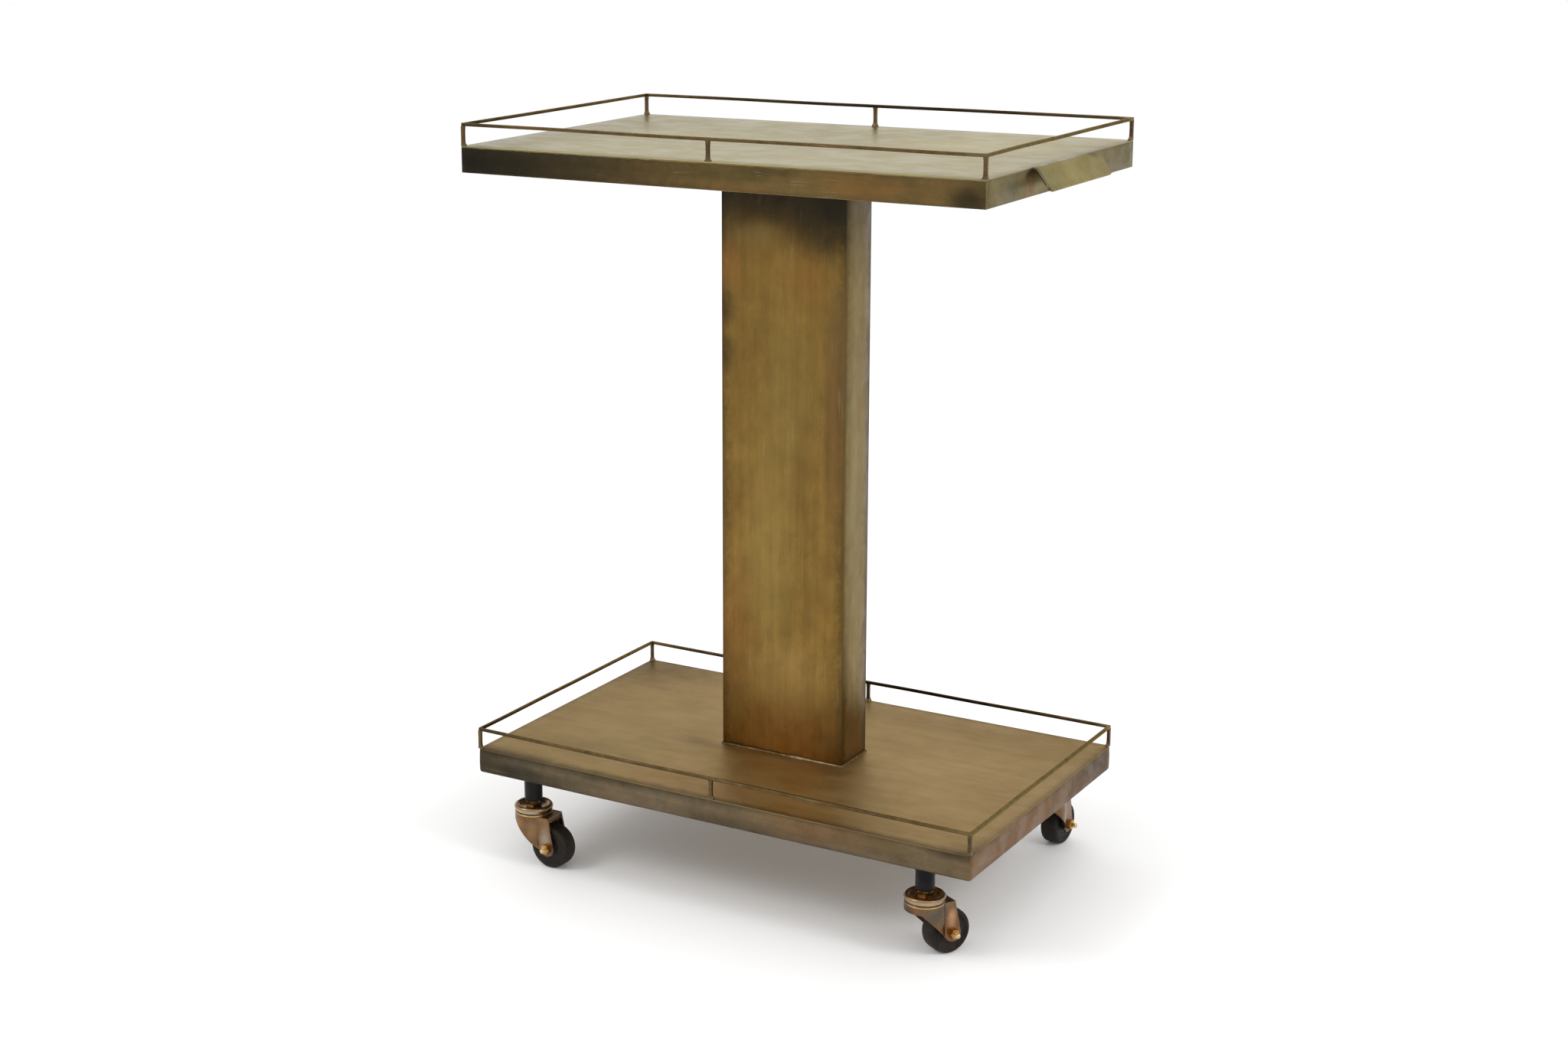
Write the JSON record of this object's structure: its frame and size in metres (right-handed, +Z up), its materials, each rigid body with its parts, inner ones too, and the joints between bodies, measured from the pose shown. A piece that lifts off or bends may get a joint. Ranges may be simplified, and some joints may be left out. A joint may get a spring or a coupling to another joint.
{
  "type": "bar cart",
  "caption": "Bar cart with two gallery-railed shelves on a broad hollow column, a flared end handle and swivel casters.",
  "frame": {"origin": "on the floor, under the middle of the box around the whole cart at rest", "axes": "+Z up, +X along the shelves towards the handle end, +Y towards the back"},
  "size_m": [0.641, 0.4122, 0.8495],
  "materials": {
    "top_brass": "aged brass sheet, pale olive, satin with cloudy patina",
    "lower_brass": "aged brass sheet, olive to copper brown, satin",
    "edge_brass": "aged brass sheet, olive brown with copper and black smudges",
    "lower_edge_brass": "aged brass sheet, dark olive grey, soft edges",
    "handle_brass": "aged brass strip, olive yellow with dark edges",
    "rail_brass": "aged brass bar, dark olive with worn ends",
    "column_brass": "aged brass sheet, golden brown with copper blotches",
    "weld_brass": "rough worn braze bead",
    "frame_steel": "plain steel tube, hidden",
    "fastener_steel": "zinc plated steel",
    "sleeve_steel": "blackened steel tube",
    "cup_bronze": "dark bronze plated pressing, glossy",
    "fork_steel": "copper tinted zinc plated pressing",
    "ball_steel": "polished bearing steel",
    "bolt_brass": "golden plated thread and nut",
    "hub_rubber": "black moulded core",
    "tyre_rubber": "black brown rubber, dusty"
  },
  "bodies": {
    "cart": {"top_sheet": "top_brass", "top_skirt_front": "edge_brass", "top_skirt_back": "edge_brass", "top_skirt_left": "edge_brass", "top_skirt_right": "edge_brass", "handle_lip": "handle_brass", "top_rails": "rail_brass", "top_posts": "rail_brass", "top_tubes": "frame_steel", "lower_sheet": "lower_brass", "lower_skirt_front": "lower_edge_brass", "lower_skirt_back": "lower_edge_brass", "lower_skirt_left": "lower_edge_brass", "lower_skirt_right": "lower_edge_brass", "lower_rails": "rail_brass", "lower_posts": "rail_brass", "lower_cross_tubes": "frame_steel", "lower_spine_tube": "frame_steel", "column_front": "column_brass", "column_back": "column_brass", "column_left": "column_brass", "column_right": "column_brass", "column_flange": "frame_steel", "column_foot_bead": "weld_brass", "column_bolts": "fastener_steel", "column_nuts": "fastener_steel", "caster_stems": "fastener_steel", "caster_nuts": "fastener_steel", "caster_washers": "fastener_steel", "caster_sleeves": "sleeve_steel", "caster_locknuts": "cup_bronze", "caster_cups": "cup_bronze"},
    "swivel_front_left": {"fork_front_left": "fork_steel", "swivel_balls_front_left": "ball_steel", "axle_bolt_front_left": "bolt_brass", "axle_nut_front_left": "bolt_brass", "axle_bush_front_left": "fastener_steel"},
    "wheel_front_left": {"wheel_hub_front_left": "hub_rubber", "tyre_front_left": "tyre_rubber"},
    "swivel_front_right": {"fork_front_right": "fork_steel", "swivel_balls_front_right": "ball_steel", "axle_bolt_front_right": "bolt_brass", "axle_nut_front_right": "bolt_brass", "axle_bush_front_right": "fastener_steel"},
    "wheel_front_right": {"wheel_hub_front_right": "hub_rubber", "tyre_front_right": "tyre_rubber"},
    "swivel_back_left": {"fork_back_left": "fork_steel", "swivel_balls_back_left": "ball_steel", "axle_bolt_back_left": "bolt_brass", "axle_nut_back_left": "bolt_brass", "axle_bush_back_left": "fastener_steel"},
    "wheel_back_left": {"wheel_hub_back_left": "hub_rubber", "tyre_back_left": "tyre_rubber"},
    "swivel_back_right": {"fork_back_right": "fork_steel", "swivel_balls_back_right": "ball_steel", "axle_bolt_back_right": "bolt_brass", "axle_nut_back_right": "bolt_brass", "axle_bush_back_right": "fastener_steel"},
    "wheel_back_right": {"wheel_hub_back_right": "hub_rubber", "tyre_back_right": "tyre_rubber"}
  },
  "joints": [
    {"name": "swivel_front_left", "type": "hinge", "parent": "cart", "child": "swivel_front_left", "pos_m": [-0.2595, -0.18047, 0.0615], "axis": [0, 0, 1], "continuous": true},
    {"name": "roll_front_left", "type": "hinge", "parent": "swivel_front_left", "child": "wheel_front_left", "pos_m": [-0.2325, -0.18095, 0.025], "axis": [0.0175, 0.9998, 0], "continuous": true},
    {"name": "swivel_front_right", "type": "hinge", "parent": "cart", "child": "swivel_front_right", "pos_m": [0.2385, -0.18047, 0.0615], "axis": [0, 0, 1], "continuous": true},
    {"name": "roll_front_right", "type": "hinge", "parent": "swivel_front_right", "child": "wheel_front_right", "pos_m": [0.252, -0.15709, 0.025], "axis": [-0.866, 0.5, 0], "continuous": true},
    {"name": "swivel_back_left", "type": "hinge", "parent": "cart", "child": "swivel_back_left", "pos_m": [-0.2545, 0.15352, 0.0615], "axis": [0, 0, 1], "continuous": true},
    {"name": "roll_back_left", "type": "hinge", "parent": "swivel_back_left", "child": "wheel_back_left", "pos_m": [-0.27112, 0.1748, 0.025], "axis": [-0.788, -0.6157, 0], "continuous": true},
    {"name": "swivel_back_right", "type": "hinge", "parent": "cart", "child": "swivel_back_right", "pos_m": [0.2335, 0.15352, 0.0615], "axis": [0, 0, 1], "continuous": true},
    {"name": "roll_back_right", "type": "hinge", "parent": "swivel_back_right", "child": "wheel_back_right", "pos_m": [0.23585, 0.18042, 0.025], "axis": [-0.9962, 0.0872, 0], "continuous": true}
  ]
}
